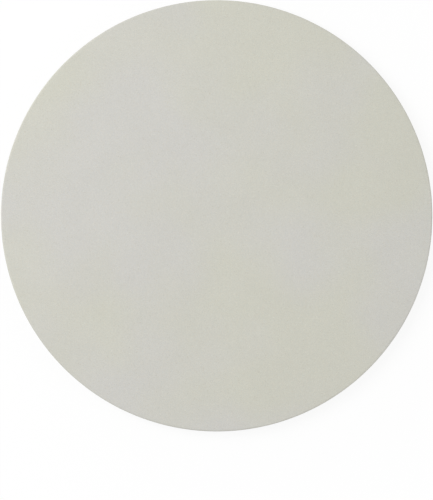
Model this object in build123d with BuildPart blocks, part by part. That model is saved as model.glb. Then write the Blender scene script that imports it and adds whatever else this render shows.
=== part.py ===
from build123d import *

import os

# Round pizza stone: one plate of cordierite, pressed, fired once and left unglazed.
# It is a single piece, with no rack, feet or handles.
# Sizes are in millimetres. The plate lies on Z = 0 with its axis on +Z and the baking face on top.

# Plate
stone_diameter = 330.0
stone_thickness = 12.0

# Rim, rubbed round before firing: tight at the baking face, fuller below, where fingers lift it
baking_edge_radius = 1.5
resting_edge_radius = 2.5

os.makedirs("parts", exist_ok=True)

# Baking stone
with BuildPart() as baking_stone:
    with BuildSketch(Plane.XY) as outline:
        Circle(radius=stone_diameter / 2)
    extrude(amount=stone_thickness)
    rims = baking_stone.edges().filter_by(GeomType.CIRCLE).sort_by(Axis.Z)
    resting_rim, baking_rim = rims[0], rims[-1]
    fillet(baking_rim, radius=baking_edge_radius)
    fillet(resting_rim, radius=resting_edge_radius)

baking_stone.part.label = "baking_stone"
export_step(baking_stone.part, "parts/baking_stone.step")
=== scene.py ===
import math

import bpy
import numpy as np
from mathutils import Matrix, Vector


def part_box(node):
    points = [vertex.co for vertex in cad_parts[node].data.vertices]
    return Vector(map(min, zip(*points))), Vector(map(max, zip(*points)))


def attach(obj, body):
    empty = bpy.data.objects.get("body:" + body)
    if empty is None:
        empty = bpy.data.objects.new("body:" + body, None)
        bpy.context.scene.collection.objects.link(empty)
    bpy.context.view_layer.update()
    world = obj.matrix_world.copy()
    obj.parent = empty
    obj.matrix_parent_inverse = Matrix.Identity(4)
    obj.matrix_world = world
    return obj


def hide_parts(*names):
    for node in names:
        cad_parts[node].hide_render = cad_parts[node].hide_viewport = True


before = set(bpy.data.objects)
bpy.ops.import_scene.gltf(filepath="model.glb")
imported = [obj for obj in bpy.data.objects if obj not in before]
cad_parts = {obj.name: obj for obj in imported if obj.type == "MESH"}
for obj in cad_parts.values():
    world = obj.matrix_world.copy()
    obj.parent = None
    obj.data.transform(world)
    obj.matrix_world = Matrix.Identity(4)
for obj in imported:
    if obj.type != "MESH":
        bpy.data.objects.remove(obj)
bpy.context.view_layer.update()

# Round pizza stone: one pressed plate of fired cordierite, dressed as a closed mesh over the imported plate.
# Metres, +Z up. The plate lies on Z = 0 and its baking face looks up.

plateLow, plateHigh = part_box("baking_stone")
metre, mm = 1.0, 0.001

stoneShape = {
    # the plate as packed
    "radius": (plateHigh.x - plateLow.x) / 2,
    "thickness": plateHigh.z - plateLow.z,
    "bakingEdge": 1.5 * mm,          # rounding round the face that is baked on
    "restingEdge": 2.5 * mm,         # fuller rounding below, where fingers lift the plate
    # how fine the mesh is
    "rimSectors": 1536,              # halved again and again towards the middle of each face
    "edgeSteps": 9,
    "wallSteps": 12,
    "finestCell": 0.7 * mm,          # ring spacing beside the rim
    "cellGrowth": 0.3,               # how fast the rings spread out with distance from the rim
    "coarsestCell": 2.6 * mm,
    "narrowestCell": 0.75,           # a sector narrower than this share of the spacing is halved away
    "smallestRing": 3.0 * mm,
    # what pressing and firing leave
    "outlineLobes": 9,               # cosines summed into the outline
    "slowestLobes": 2,               # crests of the slowest one, and each next one has one more
    "outlineDepth": 0.12 * mm,
    "outlineFade": 8,                # how fast the lobes fade inwards, as a power of the radius
    "hollows": 14,                   # waves summed into each face
    "hollowLengths": (38 * mm, 120 * mm),
    "bakingHollow": 0.05 * mm,
    "restingHollow": 0.12 * mm,
    "ripples": 40,                   # cosines summed round the wall or an edge
    "wallOrders": (9, 300),          # crests round the wall: the first or more, fewer than the second
    "wallLean": 500.0,               # how far a ripple's phase slides with height, radians a metre
    "wallDepth": 0.06 * mm,
    "edgeOrders": (3, 90),           # the same, round an edge
    "edgeUneven": 0.16,              # how much each rounding swells and shrinks, as a share of its radius
    # small chips on the edges
    "restingChips": 15,
    "bakingChips": 4,
    "bakingChipShare": 0.5,          # chips beside the baking face are this much smaller
    "chipWidths": (1.2 * mm, 3.4 * mm),
    "chipDepths": (0.12 * mm, 0.42 * mm),
    "chipTilts": (0.5, 1.0),         # radians up or down from level
    "chipDish": 0.35,                # how hollow a chip is, as a share of its depth
    "chipFresh": 0.33,               # a place is wholly fresh once this share of its chip's depth is gone
    # seeds of the random draws
    "seeds": {
        "outline": 11,
        "bakingFace": 11,
        "restingFace": 12,
        "wall": 13,
        "chips": 14,
        "bakingEdge": 15,
        "restingEdge": 16,
    },
}


def faceRings(outerRadius):
    # Rings of a flat face, from its edge inwards. The spacing grows with distance from the edge, and a
    # ring has half the sectors of the last one once its cells would be narrower than that spacing.
    s = stoneShape
    radii = []
    counts = []
    ring = outerRadius
    sectors = s["rimSectors"]
    while True:
        cell = min(s["finestCell"] + s["cellGrowth"] * (outerRadius - ring), s["coarsestCell"])
        ring = ring - cell
        if ring < s["smallestRing"]:
            return np.array(radii), np.array(counts)
        if 2 * np.pi * ring / sectors < s["narrowestCell"] * cell:
            sectors = sectors // 2
        radii.append(ring)
        counts.append(sectors)


def stoneSection():
    # The section from the middle of the baking face, out over the rim and back to the middle below:
    # a level run, a quarter circle, the wall, a fuller quarter circle and a level run back.
    # A ring has a radius, a height, a slope (its outward normal's angle above level) and a sector count.
    s = stoneShape
    radius, height = s["radius"], s["thickness"]
    above, below = s["bakingEdge"], s["restingEdge"]
    turn = np.linspace(np.pi / 2, 0, s["edgeSteps"] + 1)
    upper = np.stack([radius - above + above * np.cos(turn), height - above + above * np.sin(turn), turn], 1)
    lower = np.stack([radius - below + below * np.cos(turn), below - below * np.sin(turn), -turn], 1)[::-1]
    levels = np.linspace(height - above, below, s["wallSteps"] + 1)[1:-1]
    wall = np.stack([np.full_like(levels, radius), levels, np.zeros_like(levels)], 1)
    upRadii, upCounts = faceRings(radius - above)
    downRadii, downCounts = faceRings(radius - below)
    baking = np.stack([upRadii, np.full_like(upRadii, height), np.full_like(upRadii, np.pi / 2)], 1)[::-1]
    resting = np.stack([downRadii, np.zeros_like(downRadii), np.full_like(downRadii, -np.pi / 2)], 1)
    rings = np.concatenate([baking, upper, wall, lower, resting])
    rimCounts = np.full(len(upper) + len(wall) + len(lower), s["rimSectors"])
    counts = np.concatenate([upCounts[::-1], rimCounts, downCounts])
    wallStart = len(baking) + len(upper) - 1
    return rings, counts, (wallStart, wallStart + s["wallSteps"])


def placesRound(counts, firsts):
    # Each point's ring, and its angle about Z: a full turn times its share of the way round the ring.
    ringOf = np.repeat(np.arange(len(counts)), counts)
    angle = 2 * np.pi * (np.arange(len(ringOf)) - firsts[ringOf]) / counts[ringOf]
    return ringOf, angle


def stitchedFaces(counts, firsts):
    # Faces between neighbouring rings: a four-sided cell for each sector where both have as many,
    # and three triangles for each sector of the smaller ring where the larger has twice as many.
    # Also gives each four-sided cell's upper ring and sector, which the texture map needs.
    quads, triangles, cells = [], [], []
    for ring in range(len(counts) - 1):
        i = np.arange(min(counts[ring], counts[ring + 1]))
        if counts[ring] == counts[ring + 1]:
            after = (i + 1) % counts[ring]
            up, down = firsts[ring], firsts[ring + 1]
            quads.append(np.stack([up + i, down + i, down + after, up + after], 1))
            cells.append(np.stack([np.full_like(i, ring), i]))
            continue
        outward = counts[ring + 1] > counts[ring]
        small, large = (ring, ring + 1) if outward else (ring + 1, ring)
        here, after = firsts[small] + i, firsts[small] + (i + 1) % counts[small]
        left, middle = firsts[large] + 2 * i, firsts[large] + 2 * i + 1
        right = firsts[large] + (2 * i + 2) % counts[large]
        fan = np.concatenate([
            np.stack([here, left, middle], 1),
            np.stack([here, middle, after], 1),
            np.stack([after, middle, right], 1),
        ])
        triangles.append(fan if outward else fan[:, ::-1])
    return np.concatenate(quads), np.concatenate(triangles), np.concatenate(cells, 1)


def capFaces(counts, firsts):
    # A fan of triangles round the point that closes each face's middle: the baking face's fan, then the
    # resting face's, which runs the other way round.
    up, down = np.arange(counts[0]), np.arange(counts[-1])
    upCap = np.stack([np.full_like(up, firsts[-1]), up, (up + 1) % counts[0]], 1)
    downCap = firsts[-2] + np.stack([np.full_like(down, counts[-1] + 1), (down + 1) % counts[-1], down], 1)
    return np.concatenate([upCap, downCap])


def outlineLobes(angle):
    # A sum of cosines round the plate, slow lobes deeper than quick ones, moved to lie from -1 to 0.
    rng = np.random.default_rng(stoneShape["seeds"]["outline"])
    order = stoneShape["slowestLobes"] + np.arange(stoneShape["outlineLobes"])
    phase = rng.uniform(0, 2 * np.pi, len(order))
    total = (np.cos(angle[:, None] * order + phase) / order).sum(1)
    return (total - total.max()) / np.ptp(total)


def softHollows(x, y, seed):
    # A sum of level waves of random length and direction, long ones deeper, brought to run from 0 to 1.
    rng = np.random.default_rng(seed)
    length = rng.uniform(*stoneShape["hollowLengths"], stoneShape["hollows"])
    way, phase = rng.uniform(0, 2 * np.pi, (2, stoneShape["hollows"]))
    along = x[:, None] * np.cos(way) + y[:, None] * np.sin(way)
    total = (np.cos(2 * np.pi * along / length + phase) * length).sum(1)
    return (total - total.min()) / np.ptp(total)


def ripples(angle, height, orders, seed):
    # A sum of cosines round the plate whose phases slide with height, brought to run from 0 to 1.
    rng = np.random.default_rng(seed)
    order = rng.integers(*orders, stoneShape["ripples"])
    lean = rng.uniform(-1, 1, len(order)) * stoneShape["wallLean"]
    phase = rng.uniform(0, 2 * np.pi, len(order))
    total = (np.cos(angle[:, None] * order + height[:, None] * lean + phase) / np.sqrt(order)).sum(1)
    return (total - total.min()) / np.ptp(total)


def unevenEdges(angle, radius, height):
    # Each rounding shrinks or swells about the corner that it rounds, by ripples that run round the
    # plate: a point's distances from the wall and from the face are both times the same factor.
    s = stoneShape
    inward = s["radius"] - radius
    for edge, corner, seed in (
        (s["bakingEdge"], s["thickness"], s["seeds"]["bakingEdge"]),
        (s["restingEdge"], 0.0, s["seeds"]["restingEdge"]),
    ):
        swell = 2 * ripples(angle, np.zeros_like(angle), s["edgeOrders"], seed) - 1
        reach = edge + s["finestCell"] / 2          # halfway to the next ring
        rounded = (inward < reach) & (abs(height - corner) < reach)
        factor = 1 + s["edgeUneven"] * swell * rounded
        inward = inward * factor
        height = corner + (height - corner) * factor
    return s["radius"] - inward, height


def chipped(points):
    # A chip is a slanting cut across a rounded edge: what stands proud of a slightly dished plane is
    # taken down to it. Gives the new points, and for each how fresh its surface is, from 0 to 1.
    s = stoneShape
    rng = np.random.default_rng(s["seeds"]["chips"])
    points = points.copy()
    fresh = np.zeros(len(points))
    edges = (
        (s["restingChips"], 1.0, s["restingEdge"], s["restingEdge"], -1),
        (s["bakingChips"], s["bakingChipShare"], s["bakingEdge"], s["thickness"] - s["bakingEdge"], 1),
    )
    for count, share, edge, hubHeight, side in edges:
        for _ in range(count):
            around = rng.uniform(0, 2 * np.pi)
            tilt = rng.uniform(*s["chipTilts"])
            width = share * rng.uniform(*s["chipWidths"])
            depth = share * rng.uniform(*s["chipDepths"])
            level = np.array([math.cos(around), math.sin(around), 0])
            normal = math.cos(tilt) * level + side * math.sin(tilt) * np.array([0, 0, 1])
            crown = (s["radius"] - edge) * level + np.array([0, 0, hubHeight]) + edge * normal
            offset = points - crown
            rise = offset @ normal
            aside = np.sqrt(np.maximum((offset ** 2).sum(1) - rise ** 2, 0)) / width
            cut = np.maximum(rise + depth * (1 - s["chipDish"] * aside ** 2), 0) * (aside < 1)
            points -= cut[:, None] * normal
            fresh = np.maximum(fresh, np.clip(cut / (s["chipFresh"] * depth), 0, 1))
    return points, fresh


mapLayout = {
    # places on the texture map, as shares of its width and height: below, a disc for each face with its
    # rounded edge, and above them the wall in four strips, two by two
    "discCentres": ((0.25, 0.46), (0.75, 0.46)),
    "discHalf": (0.245, 0.455),      # half a disc's width and height
    "stripsAcross": 2,
    "stripsUp": 2,
    "stripWidth": 0.49,
    "stripHeight": 0.03,
    "stripPitch": 0.04,              # from the foot of a strip to the foot of the one above it
    "stripLeft": 0.005,
    "stripLow": 0.925,               # the foot of the lower strips
}

# the sector and ring of a cell's four corners beside its own, in the order in which its face lists them
cornerSectors, cornerRings = np.array([0, 0, 1, 1]), np.array([0, 1, 1, 0])


def discPlaces(rings, run, ringOf, angle, wall):
    # Each face with its edge lies flat as a disc: a point is as far from the disc's middle as it is along
    # the section from the face's own, and the lower disc is mirrored. Gives each point's place on both.
    lay = mapLayout
    back = run[-1] - run + rings[-1, 0]
    middles = np.zeros((2, 2))       # the faces' own middles come after the rings' points
    discs = []
    for reach, longest, turn, centre in (
        (run, run[wall[0]], 1, lay["discCentres"][0]),
        (back, back[wall[1]], -1, lay["discCentres"][1]),
    ):
        out = (reach / longest)[ringOf][:, None] * np.stack([np.cos(angle), turn * np.sin(angle)], 1)
        discs.append(np.concatenate([out, middles]) * lay["discHalf"] + centre)
    return discs


def stripPlaces(run, wall, cellRings, cellSectors):
    # The wall is unrolled into the strips: a cell's corners lie across by angle, and up by height.
    lay = mapLayout
    perStrip = stoneShape["rimSectors"] // (lay["stripsAcross"] * lay["stripsUp"])
    strip = cellSectors // perStrip
    sector = cellSectors[:, None] % perStrip + cornerSectors
    ring = cellRings[:, None] + cornerRings
    risen = (run[wall[1]] - run[ring]) / (run[wall[1]] - run[wall[0]])
    column = (strip % lay["stripsAcross"])[:, None]
    row = (strip // lay["stripsAcross"])[:, None]
    across = lay["stripLeft"] + column / lay["stripsAcross"] + sector / perStrip * lay["stripWidth"]
    up = lay["stripLow"] + row * lay["stripPitch"] + risen * lay["stripHeight"]
    return np.stack([across, up], -1)


def writeMap(data, rings, ringOf, angle, wall, cells):
    # A face of the mesh that lies wholly below the wall has its corners on the lower disc, and any other on
    # the upper one, but the wall's own cells go to the strips.
    lengths = np.hypot(*np.diff(rings[:, :2], axis=0).T)
    run = rings[0, 0] + np.concatenate([[0], np.cumsum(lengths)])      # along the section to each ring
    upper, lower = discPlaces(rings, run, ringOf, angle, wall)
    corner = np.empty(len(data.loops), int)
    data.loops.foreach_get("vertex_index", corner)
    sizes = np.empty(len(data.polygons), int)
    data.polygons.foreach_get("loop_total", sizes)
    faceOf = np.repeat(np.arange(len(sizes)), sizes)
    below = np.concatenate([ringOf >= wall[1], [False, True]])         # the two middles come last
    lowFace = np.bincount(faceOf, below[corner]) == sizes
    places = np.where(lowFace[faceOf][:, None], lower[corner], upper[corner])

    cellRings, cellSectors = cells
    onWall = np.flatnonzero((cellRings >= wall[0]) & (cellRings < wall[1]))
    corners = len(cornerRings)
    itsCorners = onWall[:, None] * corners + np.arange(corners)        # cells are the mesh's first faces
    places[itsCorners] = stripPlaces(run, wall, cellRings[onWall], cellSectors[onWall])
    layer = data.uv_layers.new(name="OFBake", do_init=False)
    layer.uv.foreach_set("vector", places.astype(np.float32).ravel())


def writeAttribute(data, name, values):
    # Keeps one number for each point of the mesh, under a name that the material reads.
    layer = data.attributes.new(name, "FLOAT", "POINT")
    layer.data.foreach_set("value", values.astype(np.float32))


def facingUp(slope):
    # The sine of the slope, and 0 where the surface looks down.
    return np.clip(np.sin(slope), 0, 1)


def stonePoints(rings, ringOf, angle):
    # The section carried round the plate: a point lies at its ring's radius and height, turned by its
    # angle about Z. Its edges swell, lobes move it out and in, ripples draw the wall in, hollows sink the
    # baking face and lift the resting one, and the chips are cut last.
    s = stoneShape
    radius, height, slope = rings[ringOf].T
    radius, height = unevenEdges(angle, radius, height)
    nearRim = (radius / s["radius"]) ** s["outlineFade"]
    radius = radius + s["outlineDepth"] * outlineLobes(angle) * nearRim
    uneven = ripples(angle, height, s["wallOrders"], s["seeds"]["wall"])
    radius = radius - s["wallDepth"] * uneven * np.cos(slope) ** 2
    x, y = radius * np.cos(angle), radius * np.sin(angle)
    sink = s["bakingHollow"] * softHollows(x, y, s["seeds"]["bakingFace"]) * facingUp(slope) ** 2
    lift = s["restingHollow"] * softHollows(x, y, s["seeds"]["restingFace"]) * facingUp(-slope) ** 2
    return chipped(np.stack([x, y, height - sink + lift], 1))


def buildStone():
    # One closed mesh of the rings' points and a point in the middle of each face, at the mean height of
    # the ring round it. An attribute has a value for each ring point, worked out from its slope or its
    # chip, and then one for each middle.
    rings, counts, wall = stoneSection()
    firsts = np.concatenate([[0], np.cumsum(counts)])
    ringOf, angle = placesRound(counts, firsts)
    points, fresh = stonePoints(rings, ringOf, angle)
    print("stone shaped:", len(counts), "rings,", len(points), "points")

    middles = [[0, 0, points[:counts[0], 2].mean()], [0, 0, points[firsts[-2]:, 2].mean()]]
    points = np.concatenate([points, middles])
    quads, triangles, cells = stitchedFaces(counts, firsts)
    faces = quads.tolist() + np.concatenate([triangles, capFaces(counts, firsts)]).tolist()
    data = bpy.data.meshes.new("dressed_stone")
    data.from_pydata(points.tolist(), [], faces)
    data.polygons.foreach_set("use_smooth", np.ones(len(data.polygons), bool))
    writeMap(data, rings, ringOf, angle, wall, cells)
    slope = rings[ringOf, 2]
    writeAttribute(data, "edgeRub", np.concatenate([np.sin(2 * slope) ** 2, [0, 0]]))
    writeAttribute(data, "underside", np.concatenate([facingUp(-slope), [0, 1]]))
    writeAttribute(data, "wallShare", np.concatenate([np.cos(slope) ** 2, [0, 0]]))
    writeAttribute(data, "freshChip", np.concatenate([fresh, [0, 0]]))
    stone = bpy.data.objects.new("dressed_stone", data)
    bpy.context.scene.collection.objects.link(stone)
    print("stone meshed:", len(data.polygons) + len(quads), "triangles")     # a cell makes two
    return stone


stoneFinish = {
    # the fired body, two tints in slow drifts and light clouds
    "bodyColour": (0.622, 0.618, 0.540),
    "coolColour": (0.622, 0.614, 0.577),
    "driftSize": 120 * mm,
    "driftRange": (0.42, 0.62),
    "driftPlace": (3.40, 3.93, 4.70),        # which stretch of the noise lies on the plate
    "cloudSize": 34 * mm,
    "cloudContrast": 0.014,
    # grit is soft unevenness, grog is crushed fired grains, and sand is the finest grain
    "gritSize": 1.3 * mm,
    "gritRoughness": 0.6,
    "gritContrast": 0.014,
    "grogSpacing": 1.7 * mm,
    "grogRadius": 0.52 * mm,
    "pullSize": 0.5 * mm,                    # how fine the noise is that pulls outlines out of round,
    "pullReach": 0.45 * mm,                  # and how far it pulls them
    "grogColours": ((0.535, 0.515, 0.435), (0.700, 0.695, 0.630)),
    "grogShare": 0.6,
    "sandSize": 0.28 * mm,
    "sandContrast": 0.075,
    "sandWarmth": 0.025,
    # iron specks, and open pores whose darkening is painted shade in the pits
    "speckColour": (0.36, 0.31, 0.24),
    "speckSpacing": 7.0 * mm,
    "speckRadius": 0.32 * mm,
    "speckShare": 0.5,
    "poreSpacing": 3.0 * mm,
    "poreRadius": 0.24 * mm,
    "wallPoreGrowth": 2.2,                   # how many times as wide pores are on the wall as on a face
    "poreDepth": 0.14 * mm,
    # how much darker a pore is painted: painted shade in the pit
    "poreShade": 0.25,
    # how far each stands out
    "gritHeight": 0.03 * mm,
    "grogHeight": 0.02 * mm,
    "sandHeight": 0.03 * mm,
    "fettleLength": 14 * mm,                 # sponge lines round the wall: long, and narrow upwards
    "fettleWidth": 0.7 * mm,
    "fettleHeight": 0.06 * mm,
    # wear and firing
    "rubbedColour": (0.660, 0.653, 0.582),   # edges rubbed down to paler sand
    "rubbedShares": (0.0, 0.7),
    "undersideColour": (0.578, 0.558, 0.478),
    "undersideShares": (0.45, 1.0),
    "freshColour": (0.665, 0.657, 0.592),
    "roughness": (0.84, 0.96),
    "gloss": 0.35,
}

mixFirst, mixSecond, mixResult = 6, 7, 2     # the colour sockets of a Mix node
softDetail, richDetail = 2.0, 3.0            # how many finer layers soft noise holds
softRoughness = 0.5                          # how much of each layer's strength the next finer one has
noiseRange = (0.25, 0.75)                    # soft noise seldom leaves this
chanceRange = (0.0, 1.0)                     # and a scattered point's own numbers fill this
smallestDot = 0.3                            # the smallest dot's radius as a share of the largest
dotCore = 0.5                                # a dot is solid to this share of its radius, then fades
pureWhite = (1, 1, 1, 1)


def put(tree, kind, feeds, **settings):
    # Adds a node. A setting is one of the node's properties, and feeds says what each named or numbered
    # input takes: another node's output, or a value.
    node = tree.nodes.new("ShaderNode" + kind)
    for name, value in settings.items():
        setattr(node, name, value)
    for name, source in feeds.items():
        if isinstance(source, bpy.types.NodeSocket):
            tree.links.new(source, node.inputs[name])
        else:
            node.inputs[name].default_value = source
    return node


def noise(tree, where, size, detail=softDetail, roughness=softRoughness):
    # Soft noise whose features are about as wide as size.
    feeds = {"Vector": where, "Scale": 1 / size, "Detail": detail, "Roughness": roughness}
    return put(tree, "TexNoise", feeds).outputs["Fac"]


def ranged(tree, value, low, high, newLow, newHigh):
    # A straight line through (low, newLow) and (high, newHigh), held level beyond them.
    feeds = {"Value": value, "From Min": low, "From Max": high, "To Min": newLow, "To Max": newHigh}
    return put(tree, "MapRange", feeds).outputs["Result"]


def arithmetic(tree, operation, first, second):
    # One step of arithmetic, such as ADD or MAXIMUM, on two values or outputs.
    return put(tree, "Math", {0: first, 1: second}, operation=operation).outputs[0]


def times(tree, first, second):
    # The first value or output times the second.
    return put(tree, "Math", {0: first, 1: second}, operation="MULTIPLY").outputs[0]


def mixed(tree, share, first, second, blend="MIX"):
    # first where share is 0, second or its blend with first where share is 1.
    colours = {}
    for socket, colour in ((mixFirst, first), (mixSecond, second)):
        colours[socket] = colour if isinstance(colour, bpy.types.NodeSocket) else (*colour, 1)
    feeds = {0: share, **colours}
    return put(tree, "Mix", feeds, data_type="RGBA", blend_type=blend).outputs[mixResult]


def attribute(tree, name):
    # What writeAttribute kept under that name, at each place of the mesh.
    return put(tree, "Attribute", {}, attribute_name=name).outputs["Fac"]


def dotAt(tree, distance, radius):
    # 1 in a dot's core, falling to 0 at its radius, at that distance from its middle.
    return ranged(tree, distance, dotCore * radius, radius, 1, 0)


def scattered(tree, where, spacing):
    # Points scattered about that far apart: each place's distance to the nearest, in metres, and two
    # numbers from 0 to 1 that belong to that point.
    cells = put(tree, "TexVoronoi", {"Vector": where, "Scale": 1 / spacing})
    chance = put(tree, "SeparateColor", {"Color": cells.outputs["Color"]}).outputs
    return times(tree, cells.outputs["Distance"], spacing), chance[0], chance[1]


def dots(tree, where, spacing, radius, growth=1.0):
    # Round dots at scattered points, of that radius times growth or less: 1 inside, 0 outside.
    distance, chance, _ = scattered(tree, where, spacing)
    size = times(tree, ranged(tree, chance, *chanceRange, smallestDot, 1), growth)
    return dotAt(tree, arithmetic(tree, "DIVIDE", distance, size), radius)


def swing(tree, value, usual, size):
    # A factor that goes from 1 - size to 1 + size while value crosses its usual range.
    return ranged(tree, value, *usual, 1 - size, 1 + size)


def pulledPlace(tree, where):
    # Each place plus a little of some fine noise, so that what is laid out from it is out of round.
    f = stoneFinish
    pull = put(tree, "TexNoise", {"Vector": where, "Scale": 1 / f["pullSize"]}).outputs["Color"]
    pull = put(tree, "VectorMath", {0: pull, "Scale": f["pullReach"]}, operation="SCALE").outputs["Vector"]
    return put(tree, "VectorMath", {0: where, 1: pull}, operation="ADD").outputs["Vector"]


def bodyTints(tree, where, cloud, grit):
    # The fired body is two tints in slow drifts. Over it the side that lay in the kiln is toasted, and the
    # edges are rubbed paler, each by its attribute times soft noise.
    f = stoneFinish
    moved = put(tree, "VectorMath", {0: where, 1: f["driftPlace"]}, operation="ADD").outputs["Vector"]
    drift = ranged(tree, noise(tree, moved, f["driftSize"]), *f["driftRange"], 0, 1)
    colour = mixed(tree, drift, f["bodyColour"], f["coolColour"])
    for name, layer, shares, tint in (
        ("underside", cloud, f["undersideShares"], f["undersideColour"]),
        ("edgeRub", grit, f["rubbedShares"], f["rubbedColour"]),
    ):
        share = times(tree, attribute(tree, name), ranged(tree, layer, *noiseRange, *shares))
        colour = mixed(tree, share, colour, tint)
    return colour


def toneAndPoreShade(tree, cloud, grit, sand, warmth, pore):
    # Painted shade darkens each pore, and cloud, grit and sand make it lighter and darker at random, with
    # each
    # grain of sand a little warmer or cooler: a tint to multiply by, with that light as its green, and as
    # its red and blue times opposite swings.
    f = stoneFinish
    # painted shade: each pore is darkened by poreShade
    light = ranged(tree, pore, 0, 1, 1, 1 - f["poreShade"])
    for layer, usual, contrast in (
        (cloud, noiseRange, f["cloudContrast"]),
        (grit, noiseRange, f["gritContrast"]),
        (sand, chanceRange, f["sandContrast"]),
    ):
        light = times(tree, light, swing(tree, layer, usual, contrast))
    red = times(tree, light, swing(tree, warmth, chanceRange, f["sandWarmth"]))
    blue = times(tree, light, swing(tree, warmth, chanceRange, -f["sandWarmth"]))
    return put(tree, "CombineColor", {0: red, 1: light, 2: blue}).outputs[0]


def relief(tree, where, wallShare, pore, layers):
    # Heights in metres: pores sunk by their depth, each layer times how far it stands out, and sponge
    # lines that lie level round the wall, which are noise squeezed upwards.
    f = stoneFinish
    flattened = (1, 1, f["fettleLength"] / f["fettleWidth"])
    levelled = put(tree, "Mapping", {"Vector": where, "Scale": flattened}).outputs["Vector"]
    fettle = times(tree, noise(tree, levelled, f["fettleLength"], richDetail), wallShare)
    height = times(tree, pore, -f["poreDepth"])
    for depth, layer in (*layers.items(), ("fettleHeight", fettle)):
        height = arithmetic(tree, "ADD", height, times(tree, layer, f[depth]))
    return put(tree, "Bump", {"Height": height, "Distance": metre}).outputs["Normal"]


def firedCordierite():
    # Unglazed, sandy and matte. Over the body's tints go grog, which is grains from darker than the body to
    # paler, then iron specks, then chips cut into fresh stone. Grain lightens and darkens the result at
    # random and painted shade darkens the pores; the grit gives the roughness, with chips the roughest, and
    # the same layers make the bump.
    f = stoneFinish
    material = bpy.data.materials.new("pressed_cordierite")
    material.use_nodes = True
    tree = material.node_tree
    shader = tree.nodes["Principled BSDF"]
    shader.inputs["Specular IOR Level"].default_value = f["gloss"]

    where = put(tree, "TexCoord", {}).outputs["Object"]
    pulled = pulledPlace(tree, where)
    cloud = noise(tree, where, f["cloudSize"], richDetail)
    grit = noise(tree, where, f["gritSize"], richDetail, f["gritRoughness"])
    _, sand, warmth = scattered(tree, where, f["sandSize"])
    distance, tone, _ = scattered(tree, pulled, f["grogSpacing"])
    grog = dotAt(tree, distance, f["grogRadius"])
    speck = dots(tree, pulled, f["speckSpacing"], f["speckRadius"])
    wallShare = attribute(tree, "wallShare")
    growth = ranged(tree, wallShare, 0, 1, 1, f["wallPoreGrowth"])
    pore = dots(tree, pulled, f["poreSpacing"], f["poreRadius"], growth)
    fresh = attribute(tree, "freshChip")

    colour = bodyTints(tree, where, cloud, grit)
    colour = mixed(tree, times(tree, grog, f["grogShare"]), colour, mixed(tree, tone, *f["grogColours"]))
    colour = mixed(tree, times(tree, speck, f["speckShare"]), colour, f["speckColour"])
    colour = mixed(tree, fresh, colour, f["freshColour"])
    # the tint holds the painted shade in the pores and the random tone of cloud, grit and sand
    tint = toneAndPoreShade(tree, cloud, grit, sand, warmth, pore)
    tree.links.new(mixed(tree, 1.0, colour, tint, "MULTIPLY"), shader.inputs["Base Color"])

    rough = ranged(tree, grit, *noiseRange, *f["roughness"])
    tree.links.new(arithmetic(tree, "MAXIMUM", rough, fresh), shader.inputs["Roughness"])
    layers = {"gritHeight": grit, "grogHeight": grog, "sandHeight": sand}
    tree.links.new(relief(tree, where, wallShare, pore, layers), shader.inputs["Normal"])
    return material


studio = {
    # each lamp's direction from the plate, its distance and width, and its share of the light at which
    # a colour renders as it is written
    "lamps": {
        "key": ((-0.80, 0.35, 1.0), 1.75, 1.1, 0.41),
        "lowFill": ((1.0, -0.15, 0.4), 1.9, 1.2, 0.06),
    },
    "skyShare": 0.565,
    "backdropWhite": 1.0,
    "floorColour": 0.8,
    "floorShade": 0.16,                 # how much of the floor's own light and shadow shows by the plate
    "floorShadeReach": (0.19, 0.34),    # it fades out between these distances from the middle
    "contactShade": 0.85,               # how much shows where the rim's rounding leaves the floor,
    "contactReach": (-1.0 * mm, 1.8 * mm),   # fading out between these distances from the outline
    "floorWidth": 12.0,
}


def seenDirectly(tree):
    # 1 for rays that show the backdrop itself: from the camera, in a gloss or through glass.
    path = put(tree, "LightPath", {})
    seen = arithmetic(tree, "MAXIMUM", path.outputs["Is Camera Ray"], path.outputs["Is Glossy Ray"])
    return arithmetic(tree, "MAXIMUM", seen, path.outputs["Is Transmission Ray"])


def softLamp(name, towards, distance, size, share):
    # A square lamp that faces the plate's middle. Its power is such that a small lamp there would give
    # a level surface that share of the light at which a colour renders as it is written.
    direction = Vector(towards).normalized()
    data = bpy.data.lights.new(name, "AREA")
    data.size = size
    data.energy = share * math.pi ** 2 * distance ** 2 / direction.z
    lamp = bpy.data.objects.new(name, data)
    lamp.location = direction * distance
    lamp.rotation_euler = direction.to_track_quat("Z", "Y").to_euler()
    bpy.context.scene.collection.objects.link(lamp)


def buildWorld():
    # An even pale sky for light, and white where it is seen.
    world = bpy.data.worlds.new("studio")
    bpy.context.scene.world = world
    world.use_nodes = True
    tree = world.node_tree
    tree.nodes.clear()
    sky = put(tree, "Background", {"Color": pureWhite, "Strength": studio["skyShare"]})
    shown = put(tree, "Background", {"Color": pureWhite, "Strength": studio["backdropWhite"]})
    mix = put(tree, "MixShader", {0: seenDirectly(tree), 1: sky.outputs[0], 2: shown.outputs[0]})
    put(tree, "OutputWorld", {"Surface": mix.outputs[0]})


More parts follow.
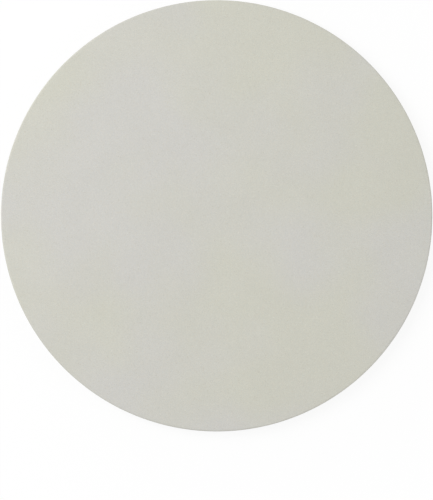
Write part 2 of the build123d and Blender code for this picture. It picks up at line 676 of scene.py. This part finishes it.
def buildFloor():
    # A pale matte floor. Seen directly it is mostly the backdrop's white, with a share of its own light
    # near the plate so that the plate's shadow stays. The white is (backdrop - share times grey) over the
    # rest, so that the two together come out as the backdrop where the floor is lit in full.
    half = studio["floorWidth"] / 2
    corners = [(-half, -half, 0), (half, -half, 0), (half, half, 0), (-half, half, 0)]
    data = bpy.data.meshes.new("floor")
    data.from_pydata(corners, [], [(0, 1, 2, 3)])
    floor = bpy.data.objects.new("floor", data)
    bpy.context.scene.collection.objects.link(floor)
    material = bpy.data.materials.new("pale_floor")
    data.materials.append(material)
    material.use_nodes = True
    tree = material.node_tree
    tree.nodes.clear()
    grey = studio["floorColour"]
    where = put(tree, "TexCoord", {}).outputs["Object"]
    away = put(tree, "VectorMath", {0: where}, operation="LENGTH").outputs["Value"]
    shade = ranged(tree, away, *studio["floorShadeReach"], studio["floorShade"], 0)
    nearer, further = (stoneShape["radius"] + reach for reach in studio["contactReach"])
    contact = ranged(tree, away, nearer, further, studio["contactShade"], 0)
    shade = arithmetic(tree, "MAXIMUM", shade, contact)
    rest = arithmetic(tree, "SUBTRACT", 1.0, shade)
    white = arithmetic(tree, "SUBTRACT", studio["backdropWhite"], times(tree, shade, grey))
    white = arithmetic(tree, "DIVIDE", white, rest)
    share = times(tree, seenDirectly(tree), rest)
    matte = put(tree, "BsdfDiffuse", {"Color": (grey, grey, grey, 1)})
    shown = put(tree, "Emission", {"Color": pureWhite, "Strength": white})
    mix = put(tree, "MixShader", {0: share, 1: matte.outputs[0], 2: shown.outputs[0]})
    put(tree, "OutputMaterial", {"Surface": mix.outputs[0]})


photoView = {
    "imageWidth": 433,
    "imageHeight": 500,
    "discCentreX": 216.65,       # the plate's outline in the photograph, in pixels
    "discCentreY": 215.80,
    "discRadius": 215.77,
    "lens": 100.0,
    "sensor": 36.0,
}


def buildCamera():
    # Straight down. The plate's radius over the outline's radius in pixels gives the size of a pixel,
    # which gives the camera's distance, and the outline's place in the picture gives where it hangs.
    v = photoView
    pixel = stoneShape["radius"] / v["discRadius"]
    outlineHeight = stoneShape["thickness"] - stoneShape["bakingEdge"]
    data = bpy.data.cameras.new("camera")
    data.lens = v["lens"]
    data.sensor_width = v["sensor"]
    camera = bpy.data.objects.new("camera", data)
    camera.location = (
        (v["imageWidth"] / 2 - v["discCentreX"]) * pixel,
        (v["discCentreY"] - v["imageHeight"] / 2) * pixel,
        outlineHeight + pixel * v["imageHeight"] * v["lens"] / v["sensor"],
    )
    bpy.context.scene.collection.objects.link(camera)
    bpy.context.scene.camera = camera


stone = buildStone()
stone.data.materials.append(firedCordierite())
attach(stone, "root")
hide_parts("baking_stone")
print("stone finished")

buildWorld()
buildFloor()
for lampName, lamp in studio["lamps"].items():
    softLamp(lampName, *lamp)
buildCamera()
bpy.context.scene.view_settings.view_transform = "Standard"
print("studio and camera ready")
